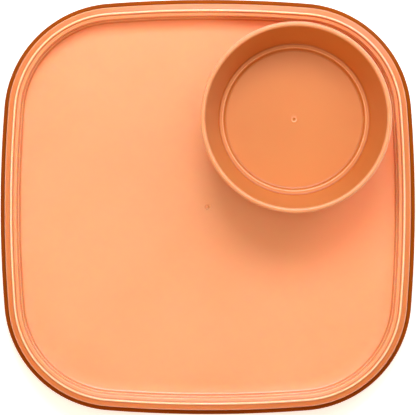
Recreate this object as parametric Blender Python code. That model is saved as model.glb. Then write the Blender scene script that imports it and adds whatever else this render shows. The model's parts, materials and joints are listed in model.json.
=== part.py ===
"""A suction bowl that stands in the corner of its own rounded-square tray.

The round bowl plugs onto a silicone suction foot, which grips the tray's smooth floor.
The tray plugs onto a larger suction foot, which grips the table, and four soft studs
steady its corners. Each foot has a pull tab that lets the air back in.

Frame: +Z up, origin on the table under the tray's centre, +Y towards the back.
"""

import math

import bmesh
import bpy
from mathutils import Matrix, Vector

MM = 0.001
GAP = 0.3 * MM  # clearance between neighbouring pieces

# The tray's outline: four slightly bowed sides joined by round corners.
TRAY_HALF = 125 * MM
SIDE_RADIUS = 780 * MM
CORNER_RADIUS = 68 * MM
SIDE_STEPS = 4
CORNER_STEPS = 10

# The tray's section.
FLOOR_TOP = 14 * MM
FLOOR_THICKNESS = 2.2 * MM
FLOOR_UNDERSIDE = FLOOR_TOP - FLOOR_THICKNESS
RIM_TOP = FLOOR_TOP + 11 * MM
RIM_WALL_FOOT = FLOOR_TOP - 3.7 * MM
FLOOR_EDGE_INSET = 13.9 * MM

# The soft band round the tray's edge.
BAND_BOTTOM = FLOOR_TOP - 6.5 * MM
BAND_TOP = FLOOR_TOP + 0.2 * MM

# Studs under the tray's corners.
STUD_PLACE = 76 * MM
STUD_SOLE_RADIUS = 8.5 * MM
STUD_PLUG_RADIUS = 5 * MM
BOSS_WALL = 2 * MM
BOSS_FOOT = 6.2 * MM

# The tray's suction foot, and the ring that stiffens the floor round it.
TRAY_CUP_RADIUS = 72 * MM
TRAY_CHAMBER = 3 * MM
TRAY_PLUG_RADIUS = 22 * MM
TRAY_SOCKET_FOOT = 8.3 * MM
STIFFENER_RADIUS = 80 * MM
STIFFENER_WIDTH = 1.6 * MM
STIFFENER_DEPTH = 2 * MM
SOCKET_WALL = 2.2 * MM

# What both suction feet have in common: a hub's flange sits in a pocket in the cup.
PLUG_WALL = 2.2 * MM
PLUG_FLOOR = 0.6 * MM
WEB_THICKNESS = 1.6 * MM
WEB_BURIED = 0.5 * MM
WEB_BELOW_TOP = 0.8 * MM
FLANGE_REACH = 4 * MM
CUP_MEMBRANE = 0.8 * MM
CUP_MOUTH_THICKNESS = 0.9 * MM
CUP_SHOULDER = 2.4 * MM
CUP_LIP = 1 * MM

# The bowl.
BOWL_X = 51.3 * MM
BOWL_Y = 52 * MM
BOWL_RIM_RADIUS = 55.6 * MM
BOWL_RIM_TOP = FLOOR_TOP + 46 * MM
LIP_WIDTH = 3 * MM
WALL = 2.2 * MM
LEDGE_TOP = FLOOR_TOP + 19 * MM
LEDGE_RADIUS = 45 * MM
BOWL_FLOOR_TOP = FLOOR_TOP + 16.5 * MM
BOWL_FLOOR_RADIUS = 40.6 * MM
BOWL_FLOOR_UNDERSIDE = BOWL_FLOOR_TOP - WALL
SKIRT_FOOT = FLOOR_TOP + 3.5 * MM
SKIRT_RADIUS = 45.6 * MM
NOTCH_RADIUS = 11 * MM
NOTCH_TOP = FLOOR_TOP + 9 * MM

# The bowl's suction foot.
BOWL_CUP_RADIUS = 45 * MM
BOWL_CHAMBER = 3.4 * MM
BOWL_CUP_FOOT = FLOOR_TOP + GAP
BOWL_PLUG_RADIUS = 14 * MM
BOWL_SOCKET_FOOT = FLOOR_TOP + 8.2 * MM

# Pull tabs.
TAB_THICKNESS = 1.6 * MM
TRAY_TAB_WIDTH = 22 * MM
TRAY_TAB_LENGTH = 36 * MM
TRAY_TAB_HEIGHT = 0.4 * MM
TRAY_TAB_RISE = 0.8 * MM
BOWL_TAB_WIDTH = 18 * MM
BOWL_TAB_LENGTH = 9 * MM
BOWL_TAB_HEIGHT = BOWL_CUP_FOOT + 0.3 * MM
BOWL_TAB_RISE = 0.6 * MM

LARGE_ROUND_STEPS = 48
CUP_STEPS = 40
SMALL_ROUND_STEPS = 24
STUD_STEPS = 16
WELD = 0.001 * MM


# --- helpers ---------------------------------------------------------------------------


def clear_scene():
    for obj in list(bpy.data.objects):
        bpy.data.objects.remove(obj)


def plastic(name, colour, roughness):
    """A plain moulded material; none of the pieces is metal."""
    made = bpy.data.materials.new(name)
    made.use_nodes = True
    shader = made.node_tree.nodes["Principled BSDF"]
    shader.inputs["Base Color"].default_value = (*colour, 1)
    shader.inputs["Roughness"].default_value = roughness
    shader.inputs["Metallic"].default_value = 0
    return made


def finish(bm, name, material, location=(0, 0, 0)):
    """The bmesh as a named object with outward faces, smooth but for its sharp edges."""
    bmesh.ops.remove_doubles(bm, verts=bm.verts, dist=WELD)
    bmesh.ops.recalc_face_normals(bm, faces=bm.faces)
    mesh = bpy.data.meshes.new(name)
    bm.to_mesh(mesh)
    bm.free()
    mesh.shade_smooth()
    mesh.set_sharp_from_angle(angle=math.radians(35))
    if material:
        mesh.materials.append(material)
    obj = bpy.data.objects.new(name, mesh)
    obj.location = location
    bpy.context.scene.collection.objects.link(obj)
    return obj


def turned(name, profile, steps, material=None, location=(0, 0, 0)):
    """A solid of revolution: profile is a list of (radius, height), spun about Z.

    A profile that starts and ends on the axis is a plain solid; any other is closed on
    itself and makes a ring.
    """
    bm = bmesh.new()
    points = [bm.verts.new((radius, 0, height)) for radius, height in profile]
    edges = [bm.edges.new(pair) for pair in zip(points, points[1:])]
    if profile[0][0] > 0:
        edges.append(bm.edges.new((points[-1], points[0])))
    bmesh.ops.spin(
        bm,
        geom=points + edges,
        cent=(0, 0, 0),
        axis=(0, 0, 1),
        angle=math.tau,
        steps=steps,
        use_merge=True,
    )
    return finish(bm, name, material, location)


def block(name, low, high, turn=0):
    """A box between two corners, turned about Z."""
    bm = bmesh.new()
    bmesh.ops.create_cube(bm, size=1)
    size = Vector(high) - Vector(low)
    middle = (Vector(high) + Vector(low)) / 2
    place = Matrix.Rotation(turn, 4, "Z") @ Matrix.Translation(middle)
    bmesh.ops.transform(bm, matrix=place @ Matrix.Diagonal((*size, 1)), verts=bm.verts)
    return finish(bm, name, None)


def join(target, tool, operation="UNION"):
    """Adds a Boolean by a helper object, which then stays out of the part."""
    tool.hide_render = True
    tool.display_type = "WIRE"
    modifier = target.modifiers.new(f"{operation.lower()}_{tool.name}", "BOOLEAN")
    modifier.operation = operation
    modifier.solver = "EXACT"
    modifier.object = tool


def tube(name, inner, outer, low, high, steps, location=(0, 0, 0)):
    """A plain ring with square edges."""
    profile = [(inner, low), (outer, low), (outer, high), (inner, high)]
    return turned(name, profile, steps, location=location)


# --- the tray's outline ----------------------------------------------------------------


def outline_stations():
    """(centre, radius, direction) all the way round the tray's edge, anticlockwise.

    A side's arc is centred far behind the tray, and a corner's arc touches both its
    neighbours, so a corner's centre lies (SIDE_RADIUS - CORNER_RADIUS) from theirs.
    """
    behind = SIDE_RADIUS - TRAY_HALF
    reach = SIDE_RADIUS - CORNER_RADIUS
    corner = (math.sqrt(2 * reach**2 - behind**2) - behind) / 2
    swing = math.atan2(corner, corner + behind)
    stations = []
    for quarter in range(4):
        turn = Matrix.Rotation(quarter * math.pi / 2, 2)
        side_centre = turn @ Vector((-behind, 0))
        corner_centre = turn @ Vector((corner, corner))
        base = quarter * math.pi / 2
        for step in range(SIDE_STEPS):
            angle = base - swing + 2 * swing * step / SIDE_STEPS
            stations.append((side_centre, SIDE_RADIUS, angle))
        for step in range(CORNER_STEPS):
            angle = base + swing + (math.pi / 2 - 2 * swing) * step / CORNER_STEPS
            stations.append((corner_centre, CORNER_RADIUS, angle))
    return stations


def outline_ring(bm, inset, height):
    """One loop of vertices, the given distance inside the tray's edge."""
    ring = []
    for centre, radius, angle in outline_stations():
        reach = radius - inset
        x = centre.x + reach * math.cos(angle)
        y = centre.y + reach * math.sin(angle)
        ring.append(bm.verts.new((x, y, height)))
    return ring


def bridge(bm, first, second):
    count = len(first)
    for i in range(count):
        after = (i + 1) % count
        bm.faces.new((first[i], first[after], second[after], second[i]))


def carried(name, section, material, closed):
    """The section, a list of (inset, height), carried round the outline.

    A closed section makes a ring; an open one gets a flat floor at each end.
    """
    bm = bmesh.new()
    rings = [outline_ring(bm, inset, height) for inset, height in section]
    for first, second in zip(rings, rings[1:]):
        bridge(bm, first, second)
    if closed:
        bridge(bm, rings[-1], rings[0])
    else:
        bm.faces.new(rings[0])
        bm.faces.new(rings[-1])
    return finish(bm, name, material)


# --- tray ------------------------------------------------------------------------------


def tray_plate(material):
    """The translucent tray: a flat floor, a stepped inner wall and a hollow beaded rim."""
    top = [
        (FLOOR_EDGE_INSET, FLOOR_TOP),
        (12.8 * MM, FLOOR_TOP + 0.6 * MM),
        (12.5 * MM, FLOOR_TOP + 1.6 * MM),
        (12.5 * MM, FLOOR_TOP + 4.4 * MM),
        (12.2 * MM, FLOOR_TOP + 4.7 * MM),
        (11.7 * MM, FLOOR_TOP + 4.9 * MM),
        (11.45 * MM, RIM_TOP - 2 * MM),
        (11 * MM, RIM_TOP - 1.6 * MM),
        (9 * MM, RIM_TOP - 1.1 * MM),
        (8.65 * MM, RIM_TOP - 0.3 * MM),
        (8.15 * MM, RIM_TOP),
        (7.65 * MM, RIM_TOP - 0.3 * MM),
        (7.3 * MM, RIM_TOP - 1.1 * MM),
        (4.7 * MM, RIM_TOP - 2.2 * MM),
        (4 * MM, RIM_TOP - 3.2 * MM),
    ]
    underside = [
        (2.9 * MM, RIM_WALL_FOOT),
        (5.1 * MM, RIM_WALL_FOOT),
        (6 * MM, RIM_TOP - 4.2 * MM),
        (6.6 * MM, RIM_TOP - 3.6 * MM),
        (8.9 * MM, RIM_TOP - 3.4 * MM),
        (9.3 * MM, RIM_TOP - 4 * MM),
        (9.5 * MM, FLOOR_TOP + 3 * MM),
        (10.3 * MM, FLOOR_TOP + 2.4 * MM),
        (10.4 * MM, FLOOR_UNDERSIDE + 0.8 * MM),
        (11.2 * MM, FLOOR_UNDERSIDE),
    ]
    tray = carried("tray_plate", top + underside, material, closed=False)

    into_floor = FLOOR_UNDERSIDE + FLOOR_THICKNESS / 2
    socket_bore = TRAY_PLUG_RADIUS + GAP
    socket = tube(
        "tray_socket",
        socket_bore,
        socket_bore + SOCKET_WALL,
        TRAY_SOCKET_FOOT,
        into_floor,
        LARGE_ROUND_STEPS,
    )
    join(tray, socket)
    stiffener = tube(
        "tray_stiffener",
        STIFFENER_RADIUS,
        STIFFENER_RADIUS + STIFFENER_WIDTH,
        FLOOR_UNDERSIDE - STIFFENER_DEPTH,
        into_floor,
        LARGE_ROUND_STEPS,
    )
    join(tray, stiffener)
    boss_bore = STUD_PLUG_RADIUS + GAP
    for number, (x, y) in enumerate(stud_places(), 1):
        boss = tube(
            f"tray_boss_{number}",
            boss_bore,
            boss_bore + BOSS_WALL,
            BOSS_FOOT,
            into_floor,
            SMALL_ROUND_STEPS,
            (x, y, 0),
        )
        join(tray, boss)
    return tray


def rim_band(material):
    """The soft band: a U that grips the foot of the tray's outer wall."""
    slot_floor = RIM_WALL_FOOT - GAP
    section = [
        (2.9 * MM, BAND_TOP),
        (1.3 * MM, BAND_TOP - 0.2 * MM),
        (0.4 * MM, BAND_TOP - 1 * MM),
        (0, BAND_TOP - 2.2 * MM),
        (0, BAND_BOTTOM + 1.8 * MM),
        (0.6 * MM, BAND_BOTTOM + 0.5 * MM),
        (1.8 * MM, BAND_BOTTOM),
        (6.2 * MM, BAND_BOTTOM),
        (7 * MM, BAND_BOTTOM + 0.8 * MM),
        (7 * MM, BAND_TOP - 1.6 * MM),
        (6.5 * MM, BAND_TOP - 1.2 * MM),
        (5.8 * MM, BAND_TOP - 1.2 * MM),
        (5.4 * MM, slot_floor),
        (2.6 * MM, slot_floor),
    ]
    return carried("rim_band", section, material, closed=True)


def stud_places():
    return [(x * STUD_PLACE, y * STUD_PLACE) for x, y in ((1, 1), (-1, 1), (-1, -1), (1, -1))]


def corner_studs(material):
    """Four soft studs, each with a plug pushed up into a boss under the tray."""
    shoulder = BOSS_FOOT - GAP
    profile = [
        (0, 0),
        (STUD_SOLE_RADIUS - 0.8 * MM, 0),
        (STUD_SOLE_RADIUS, 0.8 * MM),
        (STUD_SOLE_RADIUS - 0.6 * MM, shoulder),
        (STUD_PLUG_RADIUS, shoulder),
        (STUD_PLUG_RADIUS, FLOOR_UNDERSIDE - 1 * MM),
        (STUD_PLUG_RADIUS - 0.8 * MM, FLOOR_UNDERSIDE - GAP),
        (0, FLOOR_UNDERSIDE - GAP),
    ]
    for number, (x, y) in enumerate(stud_places(), 1):
        turned(f"corner_stud_{number}", profile, STUD_STEPS, material, (x, y, 0))


# --- suction feet ----------------------------------------------------------------------


def suction_cup(name, lip_radius, foot, crown, chamber, plug_radius, material, place):
    """A silicone cup: a thin lip, a shallow vacuum chamber and a pocket for its hub.

    foot is the height of the lip, crown the top of the cup, and chamber the depth of the
    hollow under it. The pocket is wider below than at its mouth, so the hub can't pull out.
    """
    mouth = plug_radius + GAP
    pocket = plug_radius + FLANGE_REACH + GAP
    pocket_roof = crown - CUP_MOUTH_THICKNESS
    pocket_floor = foot + chamber + CUP_MEMBRANE
    shoulder = pocket + CUP_SHOULDER
    middle = (lip_radius + shoulder) / 2
    profile = [
        (0, foot + chamber),
        (shoulder - 4 * MM, foot + chamber),
        (middle, foot + chamber * 0.62),
        (lip_radius - 7 * MM, foot + chamber * 0.16),
        (lip_radius - 3.4 * MM, foot),
        (lip_radius, foot),
        (lip_radius, foot + CUP_LIP * 0.6),
        (lip_radius - 0.6 * MM, foot + CUP_LIP),
        (middle + 2 * MM, foot + (crown - foot) * 0.58),
        (shoulder, crown - 0.4 * MM),
        (shoulder - 1 * MM, crown),
        (mouth, crown),
        (mouth, pocket_roof),
        (pocket, pocket_roof),
        (pocket, pocket_floor),
        (0, pocket_floor),
    ]
    return turned(name, profile, CUP_STEPS, material, place)


def cup_hub(name, plug_radius, cup_foot, crown, chamber, plug_top, material, place):
    """The rigid hub: a flange held inside the cup, and a hollow plug that stands out of it."""
    flange_foot = cup_foot + chamber + CUP_MEMBRANE + GAP
    flange_top = crown - CUP_MOUTH_THICKNESS - GAP
    flange_radius = plug_radius + FLANGE_REACH
    bore = plug_radius - PLUG_WALL
    profile = [
        (0, flange_foot),
        (flange_radius, flange_foot),
        (flange_radius, flange_top),
        (plug_radius, flange_top),
        (plug_radius, plug_top - 0.7 * MM),
        (plug_radius - 0.7 * MM, plug_top),
        (bore, plug_top),
        (bore, flange_top + PLUG_FLOOR),
        (0, flange_top + PLUG_FLOOR),
    ]
    hub = turned(name, profile, SMALL_ROUND_STEPS, material, place)
    web_end = bore + WEB_BURIED
    for number in range(2):
        web = block(
            f"{name}_web_{number}",
            (-web_end, -WEB_THICKNESS / 2, flange_top),
            (web_end, WEB_THICKNESS / 2, plug_top - WEB_BELOW_TOP),
            turn=math.pi / 4 + number * math.pi / 2,
        )
        web.location = place
        join(hub, web)
    return hub


def pull_tab(name, width, length, rise, material, root):
    """A flat tab with a round end, reaching towards -Y from its root and rising a little."""
    bm = bmesh.new()
    half = width / 2
    straight = length - half * 0.6
    outline = [(half * 0.8, 0), (half, -straight * 0.3)]
    end_steps = 8
    for step in range(end_steps + 1):
        angle = math.pi * step / end_steps
        outline.append((half * math.cos(angle), -straight - (length - straight) * math.sin(angle)))
    outline += [(-half, -straight * 0.3), (-half * 0.8, 0)]
    sole = bm.faces.new([bm.verts.new((x, y, 0)) for x, y in outline])
    lifted = bmesh.ops.extrude_face_region(bm, geom=[sole])
    upper = [item for item in lifted["geom"] if isinstance(item, bmesh.types.BMVert)]
    bmesh.ops.translate(bm, verts=upper, vec=(0, 0, TAB_THICKNESS))
    for vertex in bm.verts:
        vertex.co.z += rise * (vertex.co.y / length) ** 2
        vertex.co.y -= GAP
    return finish(bm, name, material, root)


# --- bowl ------------------------------------------------------------------------------


def bowl_shell(material):
    """The bowl: a full-round lip, a conical wall, a ledge round a sunk floor, and a skirt."""
    lip_middle = BOWL_RIM_RADIUS - LIP_WIDTH / 2
    lip_steps = 6
    lip = []
    for step in range(lip_steps + 1):
        angle = math.pi * (1 - step / lip_steps)
        reach = LIP_WIDTH / 2
        across = lip_middle + reach * math.cos(angle)
        lip.append((across, BOWL_RIM_TOP - reach + reach * math.sin(angle)))
    profile = [
        (0, BOWL_FLOOR_TOP),
        (BOWL_FLOOR_RADIUS, BOWL_FLOOR_TOP),
        (BOWL_FLOOR_RADIUS + 1 * MM, BOWL_FLOOR_TOP + 0.6 * MM),
        (BOWL_FLOOR_RADIUS + 1.6 * MM, LEDGE_TOP - 0.3 * MM),
        (LEDGE_RADIUS - 0.6 * MM, LEDGE_TOP),
        (LEDGE_RADIUS, LEDGE_TOP + 0.6 * MM),
        *lip,
        (BOWL_RIM_RADIUS - 0.8 * MM, BOWL_RIM_TOP - 3 * MM),
        (LEDGE_RADIUS + WALL, LEDGE_TOP),
        (SKIRT_RADIUS, SKIRT_FOOT),
        (SKIRT_RADIUS - WALL, SKIRT_FOOT),
        (SKIRT_RADIUS - WALL + 0.5 * MM, BOWL_FLOOR_UNDERSIDE - 0.6 * MM),
        (SKIRT_RADIUS - WALL - 0.4 * MM, BOWL_FLOOR_UNDERSIDE),
        (0, BOWL_FLOOR_UNDERSIDE),
    ]
    place = (BOWL_X, BOWL_Y, 0)
    bowl = turned("bowl_shell", profile, LARGE_ROUND_STEPS, material, place)

    into_floor = BOWL_FLOOR_UNDERSIDE + WALL / 2
    socket_bore = BOWL_PLUG_RADIUS + GAP
    socket = tube(
        "bowl_socket",
        socket_bore,
        socket_bore + SOCKET_WALL,
        BOWL_SOCKET_FOOT,
        into_floor,
        SMALL_ROUND_STEPS,
        place,
    )
    join(bowl, socket)

    bm = bmesh.new()
    bmesh.ops.create_cone(
        bm,
        cap_ends=True,
        segments=LARGE_ROUND_STEPS,
        radius1=NOTCH_RADIUS,
        radius2=NOTCH_RADIUS,
        depth=16 * MM,
    )
    bmesh.ops.rotate(bm, cent=(0, 0, 0), matrix=Matrix.Rotation(math.pi / 2, 3, "X"), verts=bm.verts)
    notch_place = (BOWL_X, BOWL_Y - SKIRT_RADIUS, NOTCH_TOP - NOTCH_RADIUS)
    notch = finish(bm, "finger_notch", None, notch_place)
    join(bowl, notch, "DIFFERENCE")
    return bowl


# --- the whole object ------------------------------------------------------------------


def build():
    clear_scene()
    tray_plastic = plastic("tray_plastic", (0.98, 0.47, 0.22), 0.2)
    bowl_plastic = plastic("bowl_plastic", (0.83, 0.24, 0.07), 0.42)
    band_silicone = plastic("band_silicone", (0.36, 0.06, 0.004), 0.5)
    foot_silicone = plastic("foot_silicone", (0.45, 0.1, 0.02), 0.55)
    hub_plastic = plastic("hub_plastic", (0.75, 0.3, 0.12), 0.4)

    tray_plate(tray_plastic)
    rim_band(band_silicone)
    corner_studs(foot_silicone)

    tray_crown = TRAY_SOCKET_FOOT - GAP
    suction_cup(
        "tray_suction_cup",
        TRAY_CUP_RADIUS,
        0,
        tray_crown,
        TRAY_CHAMBER,
        TRAY_PLUG_RADIUS,
        foot_silicone,
        (0, 0, 0),
    )
    cup_hub(
        "tray_cup_hub",
        TRAY_PLUG_RADIUS,
        0,
        tray_crown,
        TRAY_CHAMBER,
        FLOOR_UNDERSIDE - GAP,
        hub_plastic,
        (0, 0, 0),
    )
    pull_tab(
        "tray_pull_tab",
        TRAY_TAB_WIDTH,
        TRAY_TAB_LENGTH,
        TRAY_TAB_RISE,
        foot_silicone,
        (0, -TRAY_CUP_RADIUS, TRAY_TAB_HEIGHT),
    )

    bowl_shell(bowl_plastic)
    bowl_crown = BOWL_SOCKET_FOOT - GAP
    bowl_place = (BOWL_X, BOWL_Y, 0)
    suction_cup(
        "bowl_suction_cup",
        BOWL_CUP_RADIUS,
        BOWL_CUP_FOOT,
        bowl_crown,
        BOWL_CHAMBER,
        BOWL_PLUG_RADIUS,
        foot_silicone,
        bowl_place,
    )
    cup_hub(
        "bowl_cup_hub",
        BOWL_PLUG_RADIUS,
        BOWL_CUP_FOOT,
        bowl_crown,
        BOWL_CHAMBER,
        BOWL_FLOOR_UNDERSIDE - GAP,
        hub_plastic,
        bowl_place,
    )
    pull_tab(
        "bowl_pull_tab",
        BOWL_TAB_WIDTH,
        BOWL_TAB_LENGTH,
        BOWL_TAB_RISE,
        foot_silicone,
        (BOWL_X, BOWL_Y - BOWL_CUP_RADIUS, BOWL_TAB_HEIGHT),
    )


build()
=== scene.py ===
# %% [markdown]
# # A suction bowl on its tray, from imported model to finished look
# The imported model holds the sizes, the bodies and the joints. It is right, but it is
# faceted and plain. Here each piece is made again as a fine surface in the same place,
# so that it can ride on the same body and show the soft edges of a moulding.

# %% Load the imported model
import json

import bpy
import numpy as np
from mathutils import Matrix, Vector


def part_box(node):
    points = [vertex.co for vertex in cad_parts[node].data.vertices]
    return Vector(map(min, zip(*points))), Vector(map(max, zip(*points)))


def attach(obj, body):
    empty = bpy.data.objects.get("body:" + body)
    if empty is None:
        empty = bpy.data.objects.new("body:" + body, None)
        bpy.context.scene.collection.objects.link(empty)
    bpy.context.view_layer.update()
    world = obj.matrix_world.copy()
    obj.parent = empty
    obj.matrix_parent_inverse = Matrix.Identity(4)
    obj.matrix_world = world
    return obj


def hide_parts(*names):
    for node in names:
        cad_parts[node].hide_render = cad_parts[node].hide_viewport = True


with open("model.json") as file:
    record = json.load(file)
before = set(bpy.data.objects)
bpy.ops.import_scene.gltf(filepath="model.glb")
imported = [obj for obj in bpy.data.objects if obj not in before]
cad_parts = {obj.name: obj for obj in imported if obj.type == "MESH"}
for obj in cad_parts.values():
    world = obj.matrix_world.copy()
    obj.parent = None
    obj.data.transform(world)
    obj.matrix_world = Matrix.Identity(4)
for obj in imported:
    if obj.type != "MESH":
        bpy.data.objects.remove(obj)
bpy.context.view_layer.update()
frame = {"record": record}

# %% [markdown]
# ## Sizes
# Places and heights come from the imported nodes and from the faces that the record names,
# so nothing here has to be fitted. Only the shape of the tray's outline isn't in a box:
# its two radii are repeated as named values.

# %% Read the sizes
MM = 0.001
GAP = 0.3 * MM
SIDE_RADIUS = 780 * MM
CORNER_RADIUS = 68 * MM

faces_named = {mount["name"]: mount["pos_m"] for mount in frame["record"]["mounts"]}
floor_top = faces_named["tray_floor"][2]
bowl_x, bowl_y, bowl_floor = faces_named["bowl_floor"]
tray_low, tray_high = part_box("tray_plate")
band_low, band_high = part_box("rim_band")
shell_low, shell_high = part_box("bowl_shell")
tray_half = band_high.x
rim_top = tray_high.z
lip_radius = (shell_high.x - shell_low.x) / 2
print(f"tray {2 * tray_half:.3f} m, bowl {2 * lip_radius:.3f} m across its rim")

# %% [markdown]
# ## One way to make every mesh
# Each piece is a grid of points: the rows follow its section and the columns go round.
# A section that starts and ends in the middle is closed by a fan at each pole, and a
# ring's last row meets its first. The signed volume says whether the faces point
# outwards, which saves recalculating them.

# %% A grid of points becomes a piece


def skin(name, grid, ends, row_values):
    """A closed mesh over grid[row, column, xyz], whose columns close round on themselves.

    The volume is the sum over triangles of a . (b x c) / 6; where it comes out negative,
    every face is turned over. row_values are stored on the points, one value for a row.
    """
    rows, columns, _ = grid.shape
    index = np.arange(rows * columns).reshape(rows, columns)
    if ends == "loop":
        index = np.vstack([index, index[:1]])
    after = np.roll(index, -1, axis=1)
    quads = np.stack([index[:-1], after[:-1], after[1:], index[1:]], axis=-1).reshape(-1, 4)
    points = grid.reshape(-1, 3)
    fans = np.empty((0, 3), int)
    if ends == "poles":
        points = np.vstack([points, grid[[0, -1]].mean(axis=1)])
        first, last = np.full((2, columns), [[rows * columns], [rows * columns + 1]])
        top = np.stack([first, after[0], index[0]], axis=-1)
        bottom = np.stack([last, index[-1], after[-1]], axis=-1)
        fans = np.vstack([top, bottom])
    triangles = np.vstack([quads[:, [0, 1, 2]], quads[:, [0, 2, 3]], fans])
    a, b, c = points[triangles].transpose(1, 0, 2)
    volume = np.einsum("ij,ij->", a, np.cross(b, c)) / 6
    if volume < 0:
        quads, fans = quads[:, ::-1], fans[:, ::-1]
    mesh = bpy.data.meshes.new(name)
    mesh.from_pydata(points, [], quads.tolist() + fans.tolist())
    mesh.shade_smooth()
    for label, values in row_values.items():
        spread = np.repeat(values, columns)
        if ends == "poles":
            spread = np.append(spread, values[[0, -1]])
        layer = mesh.attributes.new(label, "FLOAT", "POINT")
        layer.data.foreach_set("value", spread.astype(np.float32))
    print(f"{name}: {len(triangles)} triangles, {abs(volume) * 1e6:.2f} cm3")
    return mesh


def add_piece(name, mesh, body, material, stands_for=()):
    """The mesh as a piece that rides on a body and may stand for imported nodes."""
    mesh.materials.append(material)
    obj = bpy.data.objects.new(name, mesh)
    bpy.context.scene.collection.objects.link(obj)
    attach(obj, body)
    if stands_for:
        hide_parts(*stands_for)
    return obj


# %% [markdown]
# ## Sections with soft corners
# A mould leaves no sharp edge, and it is the small radii that catch the light. A section
# is written down by its corners, and each corner is then swapped for a short curve. How
# sharply the section bends is kept as well: hollows are darkened from it as painted shade,
# and edges are made paler, as wear and dust, and on the tray partly as a painted highlight.

# %% Round a section, space its points and measure its bend


def rounded(corners, radius, closed=False, steps=4):
    """Each corner B becomes the curve (1-t)^2 A + 2t(1-t) B + t^2 C.

    A and C lie on the two edges at B, a radius away but never past 0.45 of an edge.
    """
    corners = np.asarray(corners, float)
    if closed:
        corners = np.vstack([corners[-1:], corners, corners[:1]])
    here = corners[1:-1]
    back, on = corners[:-2] - here, corners[2:] - here
    back_length = np.linalg.norm(back, axis=1, keepdims=True)
    on_length = np.linalg.norm(on, axis=1, keepdims=True)
    cut = np.minimum(radius, 0.45 * np.minimum(back_length, on_length))
    start = here + back / back_length * cut
    end = here + on / on_length * cut
    t = np.linspace(0, 1, steps)[None, :, None]
    curve = (1 - t) ** 2 * start[:, None] + 2 * t * (1 - t) * here[:, None] + t**2 * end[:, None]
    curve = curve.reshape(-1, 2)
    return curve if closed else np.vstack([corners[:1], curve, corners[-1:]])


def spaced(section, step):
    """The same line with points added, so that none is further than a step from the next."""
    run = np.append(0, np.cumsum(np.linalg.norm(np.diff(section, axis=0), axis=1)))
    at = np.union1d(run, np.arange(0, run[-1], step))
    at = at[np.append(True, np.diff(at) > 0.02 * MM)]
    return np.stack([np.interp(at, run, section[:, 0]), np.interp(at, run, section[:, 1])], axis=1)


def bend_of(section, clockwise=True):
    """+1 on a sharp outer edge, -1 in a sharp hollow, 0 on the flat.

    It is the turn between neighbouring segments over their mean length, times 0.5 mm.
    """
    steps = np.diff(section, axis=0)
    heading = np.unwrap(np.arctan2(steps[:, 1], steps[:, 0]))
    length = np.linalg.norm(steps, axis=1)
    turn = np.diff(heading) / (0.5 * (length[1:] + length[:-1]))
    bend = np.clip(turn * 0.5 * MM, -1, 1) * (-1 if clockwise else 1)
    return np.concatenate([bend[:1], bend, bend[-1:]])


# %% [markdown]
# ## The outline that the tray's pieces share
# From above, the tray is four barely bowed arcs joined by four tight ones. Every line on
# its rim runs parallel to that edge. Written as centre + (radius - inset) x direction,
# the parallel line at any inset is exact, which scaling the outline wouldn't give.

# %% The outline as complex numbers
SIDE_COLUMNS = 28
CORNER_COLUMNS = 80

behind = SIDE_RADIUS - tray_half
reach = SIDE_RADIUS - CORNER_RADIUS
corner = (np.sqrt(2 * reach**2 - behind**2) - behind) / 2
swing = np.arctan2(corner, corner + behind)
side_turn = swing * (2 * np.arange(SIDE_COLUMNS) / SIDE_COLUMNS - 1)
corner_turn = swing + (np.pi / 2 - 2 * swing) * np.arange(CORNER_COLUMNS) / CORNER_COLUMNS
quarters = 1j ** np.arange(4)[:, None]
direction = (quarters * np.exp(1j * np.append(side_turn, corner_turn))).ravel()
centres = np.append(np.full(SIDE_COLUMNS, -behind + 0j), np.full(CORNER_COLUMNS, corner * (1 + 1j)))
centres = (quarters * centres).ravel()
radii = np.append(np.full(SIDE_COLUMNS, SIDE_RADIUS), np.full(CORNER_COLUMNS, CORNER_RADIUS))
radii = np.tile(radii, 4)


def parallel(inset):
    """The outline's points, moved inwards by each inset: one row for each."""
    return centres + (radii - np.asarray(inset)[:, None]) * direction


def lifted(plane, height):
    """Rows of complex points and one height for each row, as grid[row, column, xyz]."""
    height = np.broadcast_to(np.asarray(height, float).reshape(len(plane), -1), plane.shape)
    return np.stack([plane.real, plane.imag, height], axis=-1)


def turned(section, x, y, columns):
    """A section of (radius, height) spun round the vertical line through (x, y)."""
    angle = 2 * np.pi * np.arange(columns) / columns
    return lifted(section[:, :1] * np.exp(1j * angle) + complex(x, y), section[:, 1])


print(f"{len(direction)} columns, corner arcs centred {corner:.4f} m from the middle")

# %% [markdown]
# ## Shader sums written as sums
# A pattern is arithmetic on a few noises. With the operators overloaded, `1 - mask * 0.4`
# adds its own Math nodes, and any other node comes from one method.

# %% A wire and a finish


class Wire:
    """A node's output. Arithmetic on it adds Math nodes."""

    def __init__(self, finish, socket):
        self.finish = finish
        self.socket = socket

    def math(self, operation, *values):
        sockets = dict(enumerate(values))
        return self.finish.node("ShaderNodeMath", {"operation": operation}, sockets)

    def __add__(self, other):
        return self.math("ADD", self, other)

    def __sub__(self, other):
        return self.math("SUBTRACT", self, other)

    def __rsub__(self, other):
        return self.math("SUBTRACT", other, self)

    def __mul__(self, other):
        return self.math("MULTIPLY", self, other)

    __radd__ = __add__
    __rmul__ = __mul__

    def between(self, low, high):
        """0 below low, 1 above high and smooth in between; low may be above high."""
        settings = {"interpolation_type": "SMOOTHSTEP"}
        if low < high:
            return self.finish.node("ShaderNodeMapRange", settings, {0: self, 1: low, 2: high})
        return 1 - self.between(high, low)


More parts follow.
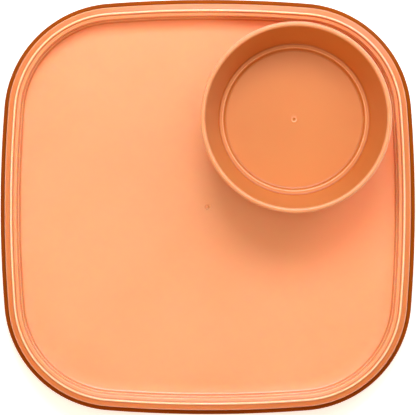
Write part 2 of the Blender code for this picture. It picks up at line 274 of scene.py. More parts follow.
class Finish:
    """A material under construction, built on its Principled shader."""

    def __init__(self, name, **constants):
        self.material = bpy.data.materials.new(name)
        self.material.use_nodes = True
        self.tree = self.material.node_tree
        self.shader = self.tree.nodes["Principled BSDF"]
        for label, value in constants.items():
            self.put(self.shader.inputs[label.replace("_", " ")], value)

    def put(self, socket, value):
        if isinstance(value, Wire):
            self.tree.links.new(value.socket, socket)
        else:
            socket.default_value = value

    def node(self, kind, settings=None, sockets=None, output=0):
        """Any node: its settings are set first, and then its sockets' values or links."""
        made = self.tree.nodes.new(kind)
        for label, value in (settings or {}).items():
            setattr(made, label, value)
        for label, value in (sockets or {}).items():
            self.put(made.inputs[label], value)
        return Wire(self, made.outputs[output])

    def place(self):
        return self.node("ShaderNodeTexCoord", output="Object")

    def noise(self, scale, detail=2.0, stretch=None, turn=0.0):
        """Noise from 0 to 1 at a number of lumps to the metre, stretched and turned at will."""
        place = self.place()
        if stretch:
            sockets = {"Vector": place, "Rotation": (0, 0, turn), "Scale": stretch}
            place = self.node("ShaderNodeMapping", None, sockets)
        sockets = {"Vector": place, "Scale": scale, "Detail": detail}
        return self.node("ShaderNodeTexNoise", None, sockets)

    def stored(self, label):
        return self.node("ShaderNodeAttribute", {"attribute_name": label}, None, "Fac")

    def mix(self, factor, first, second):
        settings = {"data_type": "RGBA"}
        colours = [v if isinstance(v, Wire) else (*v, 1) for v in (first, second)]
        return self.node("ShaderNodeMix", settings, {0: factor, 6: colours[0], 7: colours[1]}, 2)

    def close(self, colour, roughness, height, distance):
        """Feeds the shader. height runs from 0 to 1 and stands for a distance in metres."""
        sockets = {"Height": height, "Distance": distance}
        self.put(self.shader.inputs["Normal"], self.node("ShaderNodeBump", None, sockets))
        self.put(self.shader.inputs["Base Color"], colour)
        self.put(self.shader.inputs["Roughness"], roughness)
        return self.material


# %% [markdown]
# ## Marks that use leaves
# Plastic tableware is washed and scraped every day. Hairline scratches run every way,
# and they show in the gloss before they show in the colour. Two stretched noises at
# different angles, cut to their thin peaks, give them without an image. Such plastic is
# also a little see-through: light goes in, turns redder and comes out a few millimetres
# away, which softens every shadow on it. Subsurface scattering does this.

# %% Scratches and seeping light


def seeps(share, depth, radii):
    """Settings for light that enters the plastic and comes out again nearby.

    depth is how far red light gets; radii are the shares of it that red, green and blue do.
    """
    return {"Subsurface_Weight": share, "Subsurface_Scale": depth, "Subsurface_Radius": radii}


def scratches(finish):
    """Thin streaks: noise stretched 60 times along one direction, kept where it is above 0.66."""
    first = finish.noise(30, 3, (1, 60, 1), 0.5).between(0.66, 0.72)
    second = finish.noise(26, 3, (1, 60, 1), -0.9).between(0.66, 0.72)
    return first.math("MAXIMUM", first, second)


# %% [markdown]
# ## The tray's plastic
# The tray is a light orange that lets some light into it, which subsurface scattering
# over a few millimetres gives. The rim from its inner slope outwards is painted a deeper
# tone as shade, the shoulder deeper still, and its creases carry the deepest painted shade.
# The bead carries a painted highlight and is glossier, and the outer edges are paler, partly
# from wear and partly as a painted highlight. The tone could be painted on an image, but it
# follows the distance from the tray's edge so closely that a value stored on the mesh's
# points does it with a few sums.

# %% Tray plastic
TRAY_PALE = (0.92, 0.38, 0.182)
TRAY_WARM = (0.90, 0.36, 0.167)
# A deeper orange: painted shade on the rim and shoulder, and small specks.
TRAY_DEEP_SHADE_AND_SPECK = (0.68, 0.205, 0.045)
TRAY_CREASE_SHADE = (0.45, 0.095, 0.010)
TRAY_WORN_AND_HIGHLIGHT = (0.95, 0.58, 0.36)
TRAY_BEAD_HIGHLIGHT = (1.0, 0.76, 0.52)


def tray_plastic():
    seeping = seeps(0.8, 4 * MM, (1, 0.4, 0.16))
    finish = Finish("tray_plastic", IOR=1.5, Coat_Weight=0.25, Coat_Roughness=0.1, **seeping)
    cloud = finish.noise(16, 3)
    speck = finish.noise(1500, 1)
    inset = finish.stored("inset")
    bend = finish.stored("bend")
    scuff = scratches(finish)
    colour = finish.mix(cloud.between(0.3, 0.7), TRAY_PALE, TRAY_WARM)
    # Painted shade: the rim from its inner slope outwards is darker, the shoulder darker still.
    painted_shoulder_shade = inset.between(6.7 * MM, 6.2 * MM) * 0.75
    painted_rim_shade = inset.between(12.2 * MM, 11.6 * MM) * 0.30
    colour = finish.mix(painted_rim_shade, colour, TRAY_DEEP_SHADE_AND_SPECK)
    colour = finish.mix(painted_shoulder_shade, colour, TRAY_DEEP_SHADE_AND_SPECK)
    # Painted shade: the hollows of the section, where it bends inwards, are darkened.
    painted_crease_shade = bend.between(-0.12, -0.7) * 0.55
    colour = finish.mix(painted_crease_shade, colour, TRAY_CREASE_SHADE)
    # Outer edges made paler: partly wear, partly a painted highlight.
    worn = bend.between(0.2, 0.8) * (0.55 + 0.25 * finish.noise(120, 2))
    colour = finish.mix(worn, colour, TRAY_WORN_AND_HIGHLIGHT)
    # Painted highlight: the bead, 7.0 to 8.1 mm in from the edge, is made pale; it is glossier too.
    bead = inset.between(7.0 * MM, 7.3 * MM) * inset.between(8.1 * MM, 7.8 * MM)
    colour = finish.mix(bead * 0.8, colour, TRAY_BEAD_HIGHLIGHT)
    colour = finish.mix(speck.between(0.62, 0.8) * 0.05, colour, TRAY_DEEP_SHADE_AND_SPECK)
    shoulder = inset.between(6.6 * MM, 5.6 * MM)
    roughness = 0.30 + 0.10 * cloud + 0.12 * scuff - 0.14 * bead + 0.2 * shoulder
    height = 0.55 + 0.25 * speck + 0.20 * finish.noise(260, 2) - 0.35 * scuff
    return finish.close(colour, roughness, height, 0.03 * MM)


# %% [markdown]
# ## The bowl's plastic
# The bowl is a deeper orange that lets in less light, with a satin surface: the mould was
# spark-finished, which leaves an even grain of tiny pits. The grain is a fine noise in the
# bump, a rough coat gives the satin, and the lip is rubbed pale by hands and spoons.

# %% Bowl plastic
BOWL_ORANGE = (0.62, 0.187, 0.023)
BOWL_WARM = (0.60, 0.175, 0.019)
BOWL_CREASE_SHADE = (0.42, 0.085, 0.010)
BOWL_WORN = (0.95, 0.52, 0.30)


def bowl_plastic():
    seeping = seeps(0.35, 3 * MM, (1, 0.25, 0.08))
    bloom = {"Sheen_Weight": 0.22, "Sheen_Roughness": 0.3}
    satin = {"Coat_Weight": 0.6, "Coat_Roughness": 0.42}
    finish = Finish("bowl_plastic", IOR=1.48, **satin, **bloom, **seeping)
    cloud = finish.noise(24, 3)
    grain = finish.noise(2600, 2)
    bend = finish.stored("bend")
    scuff = scratches(finish)
    colour = finish.mix(cloud.between(0.3, 0.7), BOWL_ORANGE, BOWL_WARM)
    # Painted shade: the hollows of the section, such as the foot of the wall, are darkened.
    colour = finish.mix(bend.between(-0.08, -0.5) * 0.85, colour, BOWL_CREASE_SHADE)
    worn = bend.between(0.1, 0.45) * (0.45 + 0.25 * finish.noise(140, 2))
    colour = finish.mix(worn, colour, BOWL_WORN)
    colour = finish.mix(grain.between(0.6, 0.8) * 0.06, colour, BOWL_WARM)
    roughness = 0.44 + 0.10 * cloud + 0.06 * grain - 0.12 * bend.between(0.15, 0.6)
    height = 0.30 + 0.55 * grain + 0.15 * finish.noise(420, 2) - 0.2 * scuff
    return finish.close(colour, roughness, height, 0.04 * MM)


# %% [markdown]
# ## Silicone and the hubs' plastic
# Silicone is dyed through, slightly oily to the touch and attracts lint. It is dull, with
# no sharp highlight, so its specular level is low. The band and the feet are the same
# stuff in two shades, so one function makes both. The hubs are cheap rigid plastic that
# nobody sees, left as the mould made them.

# %% Silicone and hub plastic
BAND_TONES = (0.33, 0.068, 0.001), (0.27, 0.054, 0.001), (0.46, 0.15, 0.01)
FOOT_TONES = (0.45, 0.10, 0.02), (0.36, 0.07, 0.01), (0.6, 0.35, 0.22)
HUB_TONES = (0.72, 0.30, 0.12), (0.66, 0.25, 0.09), (0.85, 0.5, 0.3)


def silicone(name, shade, mottle_and_painted_shade, dust):
    """Soft rubber: mottled, with painted shade in its hollows and pale lint caught on its edges."""
    finish = Finish(name, IOR=1.41, Specular_IOR_Level=0.08)
    cloud = finish.noise(30, 3)
    skin_grain = finish.noise(900, 3)
    bend = finish.stored("bend")
    lint = finish.noise(700, 1, (1, 7, 1), 0.7).between(0.70, 0.78) * 0.35
    colour = finish.mix(cloud.between(0.3, 0.7), shade, mottle_and_painted_shade)
    # Painted shade: hollows in the section are darkened towards the deeper tone.
    colour = finish.mix(bend.between(-0.1, -0.7) * 0.6, colour, mottle_and_painted_shade)
    colour = finish.mix(bend.between(0.2, 0.9) * 0.18 + lint, colour, dust)
    roughness = 0.46 + 0.14 * cloud + 0.08 * skin_grain
    height = 0.4 + 0.35 * skin_grain + 0.25 * finish.noise(180, 2)
    return finish.close(colour, roughness, height, 0.05 * MM)


def hub_plastic():
    finish = Finish("hub_plastic", IOR=1.48)
    cloud = finish.noise(60, 3)
    grain = finish.noise(1800, 2)
    bend = finish.stored("bend")
    plain, cloudy, worn = HUB_TONES
    colour = finish.mix(cloud.between(0.3, 0.7), plain, cloudy)
    colour = finish.mix(bend.between(0.2, 0.8) * 0.4, colour, worn)
    roughness = 0.38 + 0.15 * cloud
    return finish.close(colour, roughness, 0.3 + 0.6 * grain, 0.03 * MM)


finishes = {
    "tray_plastic": tray_plastic(),
    "bowl_plastic": bowl_plastic(),
    "band_silicone": silicone("band_silicone", *BAND_TONES),
    "foot_silicone": silicone("foot_silicone", *FOOT_TONES),
    "hub_plastic": hub_plastic(),
}
print("finishes:", ", ".join(finishes))

# %% [markdown]
# ## Tray plate
# The tray is one moulding. Its section goes from the gate mark in the middle, over the
# floor, up two steps to the thin bead, over a shoulder and down the outer wall, and then
# back along the hollow underside. Near the middle the section is round, because the mark
# and the ring and socket below are turned shapes, and at the rim it follows the outline.
# Rows in between are a straight blend of the two.

# %% Tray plate
FLOOR_EDGE_INSET = 13.2 * MM
UNDER_EDGE_INSET = 10.6 * MM
FLOOR_THICKNESS = 2.2 * MM
WALL_FOOT = floor_top - 3.7 * MM
STIFFENER_RADIUS = 80 * MM
STIFFENER_WIDTH = 1.6 * MM
STIFFENER_DEPTH = 2 * MM
SOCKET_WALL = 2.2 * MM
TRAY_SOCKET_DEPTH = 3.5 * MM
FLANGE_REACH = 4 * MM
FAN_RADIUS = 0.5 * MM
PLATE_STEP = 3 * MM
GATE_RADIUS = 2.4 * MM
FAR_FROM_EDGE = 0.1


def gate_mark(radius, pit, pit_radius, ring, ring_radius):
    """Height of the scar where the plastic went in: a central pit or pip, and a ring.

    Both are bell curves of the radius.
    """
    middle = pit * np.exp(-((radius / pit_radius) ** 2))
    return middle + ring * np.exp(-(((radius - ring_radius) / (0.4 * ring_radius)) ** 2))


def circle_to_outline(radius, inset, rows):
    """Rows that start as a circle and end as the outline, along straight radial lines."""
    edge = parallel([inset])[0]
    share = np.linspace(0, 1, rows + 2)[1:-1, None]
    return (1 - share) * radius * edge / abs(edge) + share * edge


def tray_grid():
    """The plate's points, and for each row its inset from the edge and its bend."""
    up = rim_top
    under = floor_top - FLOOR_THICKNESS
    rim = [
        (FLOOR_EDGE_INSET, floor_top),
        (12.05 * MM, floor_top + 0.5 * MM),
        (11.75 * MM, floor_top + 1.6 * MM),
        (11.7 * MM, floor_top + 4.4 * MM),
        (11.5 * MM, floor_top + 4.8 * MM),
        (11.0 * MM, floor_top + 4.95 * MM),
        (10.8 * MM, up - 2.1 * MM),
        (10.4 * MM, up - 1.5 * MM),
        (8.55 * MM, up - 1.15 * MM),
        (8.25 * MM, up - 0.35 * MM),
        (7.6 * MM, up + 0.1 * MM),
        (6.95 * MM, up - 0.35 * MM),
        (6.65 * MM, up - 1.15 * MM),
        (4.2 * MM, up - 1.9 * MM),
        (3.4 * MM, up - 3.2 * MM),
        (2.65 * MM, WALL_FOOT),
        (4.9 * MM, WALL_FOOT),
        (5.5 * MM, up - 4.2 * MM),
        (6.1 * MM, up - 3.6 * MM),
        (8.3 * MM, up - 3.4 * MM),
        (8.8 * MM, floor_top + 3 * MM),
        (9.8 * MM, floor_top + 2.2 * MM),
        (9.9 * MM, under + 0.8 * MM),
        (UNDER_EDGE_INSET, under),
    ]
    rim = spaced(rounded(rim, 0.6 * MM, steps=5), PLATE_STEP)
    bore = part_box("tray_cup_hub")[1].x - FLANGE_REACH + GAP
    below = [
        (STIFFENER_RADIUS + STIFFENER_WIDTH, under),
        (STIFFENER_RADIUS + STIFFENER_WIDTH, under - STIFFENER_DEPTH),
        (STIFFENER_RADIUS, under - STIFFENER_DEPTH),
        (STIFFENER_RADIUS, under),
        (bore + SOCKET_WALL, under),
        (bore + SOCKET_WALL, under - TRAY_SOCKET_DEPTH),
        (bore, under - TRAY_SOCKET_DEPTH),
        (bore, under),
        (FAN_RADIUS, under),
    ]
    below = spaced(rounded(below, 0.4 * MM), 2 * PLATE_STEP)
    mark = np.linspace(0.15 * MM, GATE_RADIUS, 12)
    mark_height = floor_top + gate_mark(mark, 0.35 * MM, 0.5 * MM, -0.45 * MM, 1.2 * MM)
    toward = parallel([UNDER_EDGE_INSET])[0]
    toward = toward / abs(toward)
    floor_rows = circle_to_outline(GATE_RADIUS, FLOOR_EDGE_INSET, 16)
    under_rows = circle_to_outline(below[0, 0], UNDER_EDGE_INSET, 4)[::-1]
    parts = [
        (mark[:, None] * toward, mark_height, FAR_FROM_EDGE, 0),
        (floor_rows, np.full(len(floor_rows), floor_top), FAR_FROM_EDGE, 0),
        (parallel(rim[:, 0]), rim[:, 1], rim[:, 0], bend_of(rim, clockwise=False)),
        (under_rows, np.full(len(under_rows), under), FAR_FROM_EDGE, 0),
        (below[:, :1] * toward, below[:, 1], FAR_FROM_EDGE, bend_of(below, clockwise=False)),
    ]
    grid = np.concatenate([lifted(plane, height) for plane, height, _, _ in parts])
    inset = np.concatenate([np.broadcast_to(value, len(plane)) for plane, _, value, _ in parts])
    bend = np.concatenate([np.broadcast_to(value, len(plane)) for plane, _, _, value in parts])
    return grid, {"inset": inset, "bend": bend}


grid, values = tray_grid()
grid[..., 2] = np.minimum(grid[..., 2], rim_top)
plate = skin("tray_plate_fine", grid, "poles", values)
add_piece("tray_plate_fine", plate, "tray", finishes["tray_plastic"], ["tray_plate"])

# %% [markdown]
# ## Soft band round the edge
# The band is a U of silicone that grips the foot of the tray's wall and keeps its hard
# edge off a table. It is a closed section carried round the outline, with fat corners.

# %% Rim band


def band_section():
    """The U in (inset, height), from its outer face round to the slot that the wall fills."""
    low, high = band_low.z, band_high.z
    slot_floor = WALL_FOOT - GAP
    corners = [
        (2.5 * MM, high),
        (1.1 * MM, high - 0.1 * MM),
        (0.3 * MM, high - 0.6 * MM),
        (0, high - 1.7 * MM),
        (0, low + 1.8 * MM),
        (0.5 * MM, low + 0.5 * MM),
        (1.8 * MM, low),
        (6.2 * MM, low),
        (7 * MM, low + 0.8 * MM),
        (7 * MM, high - 1.6 * MM),
        (6.5 * MM, high - 1.2 * MM),
        (5.8 * MM, high - 1.2 * MM),
        (5.4 * MM, slot_floor),
        (2.35 * MM, slot_floor),
    ]
    return rounded(corners, 1.1 * MM, closed=True, steps=6)


section = band_section()
band = skin(
    "rim_band_fine",
    lifted(parallel(section[:, 0]), section[:, 1]),
    "loop",
    {"bend": bend_of(section, clockwise=False)},
)
add_piece("rim_band_fine", band, "tray", finishes["band_silicone"], ["rim_band"])

# %% [markdown]
# ## Bowl
# The bowl is one moulding with a full-round lip, a leaning wall, a narrow ledge and a
# sunk floor. Below the ledge its wall runs on as a skirt, which is what the bowl stands
# on, and a socket under the floor takes the foot's plug. All of it is turned, so it is
# one section spun round, with the lip as a half circle.

# %% Bowl shell
LIP_WIDTH = 3 * MM
WALL = 2.2 * MM
LEDGE_RISE = 2.5 * MM
FLOOR_RADIUS = 40.6 * MM
LEDGE_RADIUS = 45 * MM
BOWL_SOCKET_DEPTH = 6.1 * MM
BOWL_COLUMNS = 320


def bowl_section():
    """(radius, height) from the floor's middle, over the lip, down the skirt and back."""
    foot = shell_low.z
    floor, ledge = bowl_floor, bowl_floor + LEDGE_RISE
    under = floor - WALL
    middle = lip_radius - LIP_WIDTH / 2
    turn = np.linspace(np.pi, 0, 15)
    lip = np.stack([np.cos(turn), np.sin(turn)], axis=1) * LIP_WIDTH / 2
    lip = lip + (middle, shell_high.z - LIP_WIDTH / 2)
    inside = [
        (2.6 * MM, floor),
        (FLOOR_RADIUS, floor),
        (41.5 * MM, floor + 0.55 * MM),
        (42.1 * MM, ledge - 0.35 * MM),
        (42.5 * MM, ledge),
        (44.5 * MM, ledge + 0.05 * MM),
        (45.15 * MM, ledge + 0.8 * MM),
        lip[0],
    ]
    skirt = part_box("bowl_suction_cup")[1].x - bowl_x + 0.6 * MM
    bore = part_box("bowl_cup_hub")[1].x - bowl_x - FLANGE_REACH + GAP
    outside = [
        lip[-1],
        (lip_radius - 0.9 * MM, shell_high.z - 3.2 * MM),
        (LEDGE_RADIUS + WALL, ledge),
        (skirt, foot),
        (skirt - WALL, foot),
        (skirt - WALL + 0.5 * MM, under - 0.6 * MM),
        (skirt - WALL - 0.4 * MM, under),
        (bore + SOCKET_WALL, under),
        (bore + SOCKET_WALL, under - BOWL_SOCKET_DEPTH),
        (bore, under - BOWL_SOCKET_DEPTH),
        (bore, under),
        (FAN_RADIUS, under),
    ]
    mark = np.linspace(0.1 * MM, 2.4 * MM, 14)
    scar = gate_mark(mark, -0.55 * MM, 0.75 * MM, 0.10 * MM, 1.6 * MM)
    section = np.vstack(
        [
            np.stack([mark, floor + scar], axis=1),
            rounded(inside, 0.7 * MM),
            lip[1:-1],
            rounded(outside, 0.8 * MM),
        ]
    )
    return spaced(section, 1.6 * MM)


section = bowl_section()
grid = turned(section, bowl_x, bowl_y, BOWL_COLUMNS)
print(f"the bowl's section has {len(section)} points")

# %% [markdown]
# ## Finger notch
# A notch in the front of the skirt lets a finger reach the pull tab. A boolean cut would
# leave a hard edge and long thin faces. Here the rows of the skirt's foot are lifted
# instead, by a height that depends on the direction, and rows higher up by less, down to
# nothing. As the wall leans, a point that is lifted also moves outwards along it.

# %% Finger notch
NOTCH_RADIUS = 11 * MM
NOTCH_CENTRE = floor_top - 2 * MM
NOTCH_FADE = 13.5 * MM
SKIRT_INSIDE = 42 * MM
SKIRT_RADIUS = 44.5 * MM
WALL_LEAN = 0.103


def notch_lift(angle, radius, foot):
    """How far the notch raises the skirt's foot: a round-topped arch at the front.

    The arch's height is its centre plus the root of its radius^2 - across^2.
    """
    across = radius * np.cos(angle)
    facing_front = np.sin(angle) < 0
    arch = NOTCH_CENTRE + np.sqrt(np.clip(NOTCH_RADIUS**2 - across**2, 0, None))
    return np.where(facing_front & (abs(across) < NOTCH_RADIUS), np.maximum(arch - foot, 0), 0)


angle = 2 * np.pi * np.arange(BOWL_COLUMNS) / BOWL_COLUMNS
foot = shell_low.z
skirt_rows = (section[:, 1] < foot + NOTCH_FADE) & (section[:, 0] > SKIRT_INSIDE)
nearness = np.clip(1 - (section[:, 1] - foot) / NOTCH_FADE, 0, 1) * skirt_rows
lift = nearness[:, None] * notch_lift(angle, SKIRT_RADIUS, foot)
grid[..., 2] += lift
grid[..., 0] += WALL_LEAN * lift * np.cos(angle)
grid[..., 1] += WALL_LEAN * lift * np.sin(angle)
shell = skin("bowl_shell_fine", grid, "poles", {"bend": bend_of(section)})
add_piece("bowl_shell_fine", shell, "bowl", finishes["bowl_plastic"], ["bowl_shell"])

# %% [markdown]
# ## Pieces turned on a lathe, in effect
# Cups, hubs and studs are round, so one function makes them all from a section. The cup
# is fine at its lip, where it has to seal, and thick round the pocket that holds the hub.

# %% A turned piece
ROUND_STEP = 1.6 * MM


def round_piece(name, corners, radius, body, slot, x, y, stands_for=(), columns=200, closed=False):
    """Rounds and spaces a section, turns it, and adds the piece."""
    section = rounded(corners, radius, closed)
    if not closed:
        section = spaced(section, ROUND_STEP)
    ends = "loop" if closed else "poles"
    clockwise = not closed
    mesh = skin(name, turned(section, x, y, columns), ends, {"bend": bend_of(section, clockwise)})
    return add_piece(name, mesh, body, finishes[slot], stands_for)


# %% Suction cups and hubs
CUP_MEMBRANE = 0.8 * MM
CUP_MOUTH = 0.9 * MM
CUP_SHOULDER = 2.4 * MM
CUP_LIP = 3.4 * MM
HUB_FLOOR = 0.6 * MM
PLUG_CHAMFER = 0.7 * MM
PLUG_WALL = 2.2 * MM


def cup_and_hub(cup_node, hub_node, body, x, y):
    """A cup whose chamber and pocket are worked out from the boxes of the cup and its hub."""
    cup_low, cup_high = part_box(cup_node)
    hub_low, hub_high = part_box(hub_node)
    foot, crown = cup_low.z, cup_high.z
    rim = cup_high.x - x
    flange = hub_high.x - x
    plug = flange - FLANGE_REACH
    roof = hub_low.z - GAP - CUP_MEMBRANE
    shoulder = flange + GAP + CUP_SHOULDER
    middle = (rim + shoulder) / 2
    depth = roof - foot
    cup = [
        (FAN_RADIUS, roof),
        (shoulder - 4 * MM, roof),
        (middle, foot + 0.62 * depth),
        (rim - 7 * MM, foot + 0.16 * depth),
        (rim - CUP_LIP, foot),
        (rim, foot),
        (rim, foot + 0.6 * MM),
        (rim - 0.6 * MM, foot + 1 * MM),
        (middle + 2 * MM, foot + 0.58 * (crown - foot)),
        (shoulder, crown - 0.4 * MM),
        (shoulder - 1 * MM, crown),
        (plug + GAP, crown),
        (plug + GAP, crown - CUP_MOUTH),
        (flange + GAP, crown - CUP_MOUTH),
        (flange + GAP, roof + CUP_MEMBRANE),
        (FAN_RADIUS, roof + CUP_MEMBRANE),
    ]
    round_piece(cup_node + "_fine", cup[::-1], 0.5 * MM, body, "foot_silicone", x, y, [cup_node])
    flange_top = crown - CUP_MOUTH - GAP
    bore = plug - PLUG_WALL
    hub = [
        (FAN_RADIUS, hub_low.z),
        (flange, hub_low.z),
        (flange, flange_top),
        (plug, flange_top),
        (plug, hub_high.z - PLUG_CHAMFER),
        (plug - PLUG_CHAMFER, hub_high.z),
        (bore, hub_high.z),
        (bore, flange_top + HUB_FLOOR),
        (FAN_RADIUS, flange_top + HUB_FLOOR),
    ]
    round_piece(hub_node + "_fine", hub[::-1], 0.3 * MM, body, "hub_plastic", x, y, [hub_node])
    return bore, flange_top, hub_high.z


tray_hub = cup_and_hub("tray_suction_cup", "tray_cup_hub", "table_foot", 0, 0)
bowl_hub = cup_and_hub("bowl_suction_cup", "bowl_cup_hub", "bowl_foot", bowl_x, bowl_y)

# %% [markdown]
# ## Studs and their bosses
# Each stud is a soft button whose plug is pushed up into a boss. The bosses belong to the
# tray's moulding, and their roots run a little way into the floor above them.

# %% Corner studs and bosses
STUD_PLUG = 5 * MM
STUD_HEAD = 5.9 * MM
STUD_EDGE = 0.8 * MM
BOSS_BORE = 5.3 * MM
BOSS_WALL = 2 * MM
BOSS_FOOT = 6.2 * MM
BOSS_ROOT = floor_top - FLOOR_THICKNESS + 1 * MM
STUD_FAN_RADIUS = 0.4 * MM
STUD_COLUMNS = 96

boss = [
    (BOSS_BORE, BOSS_FOOT),
    (BOSS_BORE + BOSS_WALL, BOSS_FOOT),
    (BOSS_BORE + BOSS_WALL, BOSS_ROOT),
    (BOSS_BORE, BOSS_ROOT),
]
for number in range(1, 5):
    low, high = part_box(f"corner_stud_{number}")
    x, y = (low.x + high.x) / 2, (low.y + high.y) / 2
    sole = (high.y - low.y) / 2
    stud = [
        (STUD_FAN_RADIUS, high.z),
        (STUD_PLUG - 0.8 * MM, high.z),
        (STUD_PLUG, high.z - PLUG_CHAMFER),
        (STUD_PLUG, STUD_HEAD),
        (sole - 0.6 * MM, STUD_HEAD),
        (sole, STUD_EDGE),
        (sole - STUD_EDGE, 0),
        (STUD_FAN_RADIUS, 0),
    ]
    name = f"corner_stud_{number}"
    finish_and_place = ("tray", "foot_silicone", x, y, [name], STUD_COLUMNS)
    round_piece(name + "_fine", stud, 0.5 * MM, *finish_and_place)
    finish_and_place = ("tray", "tray_plastic", x, y, (), STUD_COLUMNS, True)
    round_piece(f"tray_boss_{number}", boss, 0.4 * MM, *finish_and_place)

# %% [markdown]
# ## Webs inside the hubs
# Two crossed webs keep each hub's hollow plug round. Each is a flat bar with a rounded
# section, run from one place to another, and its ends are buried in the wall it joins.

# %% Hub webs
WEB_THICKNESS = 1.6 * MM
WEB_BURIED = 0.5 * MM
WEB_BELOW_TOP = 0.8 * MM


def web(name, start, end, low, high, body):
    """A bar between two plan points: a rounded rectangle of thickness by height, swept."""
    half = WEB_THICKNESS / 2
    corners = [(-half, low), (half, low), (half, high), (-half, high)]
    section = rounded(corners, 0.5 * MM, closed=True, steps=6)
    along = (end - start) / abs(end - start)
    plane = np.array([[start], [end]]) + 1j * along * section[:, 0]
    height = np.broadcast_to(section[:, 1], plane.shape)
    grid = np.stack([plane.real, plane.imag, height], axis=-1)
    mesh = skin(name, grid, "poles", {"bend": np.zeros(2)})
    return add_piece(name, mesh, body, finishes["hub_plastic"])


hubs = {
    "tray": (0j, tray_hub, "table_foot"),
    "bowl": (complex(bowl_x, bowl_y), bowl_hub, "bowl_foot"),
}
for owner, (centre, (bore, low, high), body) in hubs.items():
    for number in range(2):
        toward = np.exp(1j * np.pi * (0.25 + 0.5 * number)) * (bore + WEB_BURIED)
        name = f"{owner}_hub_web_{number + 1}"
        web(name, centre - toward, centre + toward, low, high - WEB_BELOW_TOP, body)

# %% [markdown]
# ## Pull tabs
# A tab is a tongue of silicone with a full-round end and a few grip bars across it. It is
# a rounded section carried along the tongue. The section narrows to nothing as the square
# root of 1 - s^2, which makes the end a true arc, and the bars are humps of its height.

# %% Pull tabs
TAB_THICKNESS = 1.3 * MM
TAB_HEADROOM = 1.6 * MM
TAB_ROWS = 90
TAB_COLUMNS = 96
BAR_PITCH = 1.25 * MM
BAR_HEIGHT = 0.3 * MM


def pull_tab(node, body):
    """A tongue towards -Y: width and thickness fall off with s, the way along its round end.

    t runs from 0 at the root to 1 at the tip, closer together near the tip. The section is
    a circle with both coordinates replaced by their square roots, which is nearly square.
    """
    low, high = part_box(node)
    half = (high.x - low.x) / 2
    x, root = (low.x + high.x) / 2, high.y
    length = high.y - low.y
    rise = high.z - low.z - TAB_HEADROOM
    t = 1 - (1 - np.linspace(0, 1, TAB_ROWS)) ** 2
    arc = 0.6 * half
    s = np.clip((t * length - (length - arc)) / arc, 0, 0.9999)
    waist = 1 - 0.2 * np.exp(-((t * 6) ** 2))
    width = (half * waist * np.sqrt(1 - s**2))[:, None]
    depth = (TAB_THICKNESS / 2 * (1 - s**8) ** 0.5)[:, None]
    phi = 2 * np.pi * np.arange(TAB_COLUMNS) / TAB_COLUMNS
    across = np.sign(np.cos(phi)) * abs(np.cos(phi)) ** 0.5
    over = np.sign(np.sin(phi)) * abs(np.sin(phi)) ** 0.5
    t = t[:, None]
    bars = np.cos(t * length / BAR_PITCH * np.pi) ** 2
    gripped = np.clip((t - 0.35) / 0.1, 0, 1) * np.clip((0.9 - t) / 0.1, 0, 1)
    on_top = np.clip(over, 0, 1) * np.clip(2 - 2.5 * abs(across), 0, 1)
    bars = bars * gripped * on_top * BAR_HEIGHT
    grid = np.empty((TAB_ROWS, TAB_COLUMNS, 3))
    grid[..., 0] = x + width * across
    grid[..., 1] = root - t * length
    grid[..., 2] = low.z + TAB_THICKNESS / 2 + depth * over + bars + rise * t**2
    mesh = skin(node + "_fine", grid, "poles", {"bend": np.zeros(TAB_ROWS)})
    return add_piece(node + "_fine", mesh, body, finishes["foot_silicone"], [node])


pull_tab("tray_pull_tab", "tray_tab")
pull_tab("bowl_pull_tab", "bowl_tab")

# %% [markdown]
# ## Studio floor
# The object stands on a pale, faintly mottled sheet that also glows a little, as a light
# table does, so that only a faint shadow is left round the band. It is wide, so that its
# far edge stays out of the picture even for a fairly low camera. It is scenery and not a
# part of the object.

# %% Studio floor
FLOOR_PALE = (0.90, 0.90, 0.89)
FLOOR_CLOUDY = (0.86, 0.86, 0.855)
FLOOR_GLOW = 0.55


def pale_floor():
    glow = {"Emission_Color": (1, 1, 1, 1), "Emission_Strength": FLOOR_GLOW}
    finish = Finish("pale_floor", IOR=1.4, **glow)
    cloud = finish.noise(3, 4)
    colour = finish.mix(cloud, FLOOR_PALE, FLOOR_CLOUDY)
    return finish.close(colour, 0.55 + 0.1 * cloud, finish.noise(500, 2), 0.02 * MM)


FLOOR_HALF = 9.0
BELOW_THE_SOLE = 0.02 * MM

floor_mesh = bpy.data.meshes.new("studio_floor")
square = FLOOR_HALF * np.array([(-1, -1, 0), (1, -1, 0), (1, 1, 0), (-1, 1, 0)])
floor_mesh.from_pydata(square - (0, 0, BELOW_THE_SOLE), [], [(0, 1, 2, 3)])
floor_mesh.materials.append(pale_floor())
studio_floor = bpy.data.objects.new("studio_floor", floor_mesh)
bpy.context.scene.collection.objects.link(studio_floor)
print(f"studio floor {2 * FLOOR_HALF:.0f} m square")

# %% [markdown]
# ## Light
# The key is a soft lamp behind the tray. It is about 26 degrees wide, and that width gives
# the bowl's shadow its soft edge. Two weaker lamps beside it shape the far corners, and a
# wide panel overhead opens the shade. The fills round the front are warm, because light
# that reaches a shaded orange wall has mostly come off other orange walls. The room itself
# gives only a weak warm glow from all round.

# %% Light
LAMP_DISTANCE = 1.3
COOL = (0.95, 1, 1.10)
SOFT = (1, 0.83, 0.55)
WARM = (1, 0.62, 0.36)
LAMPS = {
    "key": (0, 53, 26, 0.66, COOL),
    "right_back": (42, 40, 30, 0.30, COOL),
    "left_back": (-35, 55, 30, 0.06, COOL),
    "overhead": (0, 90, 50, 0.42, SOFT),
    "left_fill": (-80, 35, 36, 0.22, WARM),
    "right_fill": (80, 35, 36, 0.08, WARM),
    "front_fill": (185, 26, 36, 0.30, WARM),
}


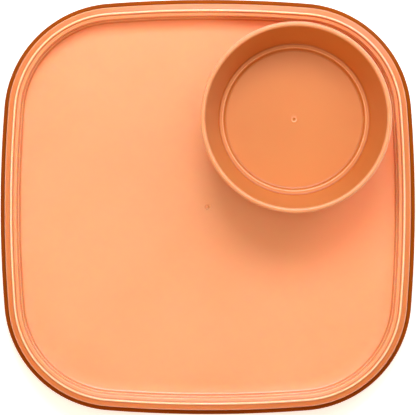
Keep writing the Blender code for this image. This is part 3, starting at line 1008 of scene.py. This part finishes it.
def lamp(name, bearing, elevation, width, strength, tint):
    """A disc aimed at the tray from a bearing (clockwise from +Y) and an elevation.

    width is the angle that it fills, all three in degrees. Light of power P falls on a
    card that faces the lamp with P / (pi d^2), so P = strength (pi d)^2 makes a white card
    as bright as the strength, however wide the lamp is.
    """
    bearing, elevation = np.radians(bearing), np.radians(elevation)
    flat = np.cos(elevation)
    place = Vector((np.sin(bearing) * flat, np.cos(bearing) * flat, np.sin(elevation)))
    data = bpy.data.lights.new(name, "AREA")
    data.shape = "DISK"
    data.size = 2 * LAMP_DISTANCE * np.tan(np.radians(width / 2))
    data.energy = strength * (np.pi * LAMP_DISTANCE) ** 2
    data.color = tint
    obj = bpy.data.objects.new(name, data)
    obj.location = place * LAMP_DISTANCE
    obj.rotation_euler = (-place).to_track_quat("-Z", "Y").to_euler()
    bpy.context.scene.collection.objects.link(obj)


for name, settings in LAMPS.items():
    lamp(name, *settings)
print(f"{len(LAMPS)} lamps, {LAMP_DISTANCE} m from the middle of the tray")

# %% Surroundings
SURROUNDINGS = 0.05
ROOM_TONE = (1, 0.8, 0.6, 1)

world = bpy.data.worlds.new("studio")
world.use_nodes = True
surroundings = world.node_tree.nodes["Background"]
surroundings.inputs["Color"].default_value = ROOM_TONE
surroundings.inputs["Strength"].default_value = SURROUNDINGS
bpy.context.scene.world = world
bpy.context.scene.view_settings.view_transform = "Standard"
print(f"surroundings at {SURROUNDINGS}")

# %% [markdown]
# ## Camera
# It looks straight down on the tray, as someone about to serve would, from far enough that
# the band's outline stays true. The lens is worked out, so that the tray at the height of
# its band just fills the frame.

# %% Camera
CAMERA_HEIGHT = 1.2
FRAME_WIDTH = 0.2505
CAMERA_X, CAMERA_Y = 0.15 * MM, -0.3 * MM

camera_data = bpy.data.cameras.new("camera")
camera_data.lens = camera_data.sensor_width * (CAMERA_HEIGHT - band_high.z) / FRAME_WIDTH
camera = bpy.data.objects.new("camera", camera_data)
camera.location = (CAMERA_X, CAMERA_Y, CAMERA_HEIGHT)
bpy.context.scene.collection.objects.link(camera)
bpy.context.scene.camera = camera
print(f"camera {CAMERA_HEIGHT} m up, {camera_data.lens:.0f} mm lens")
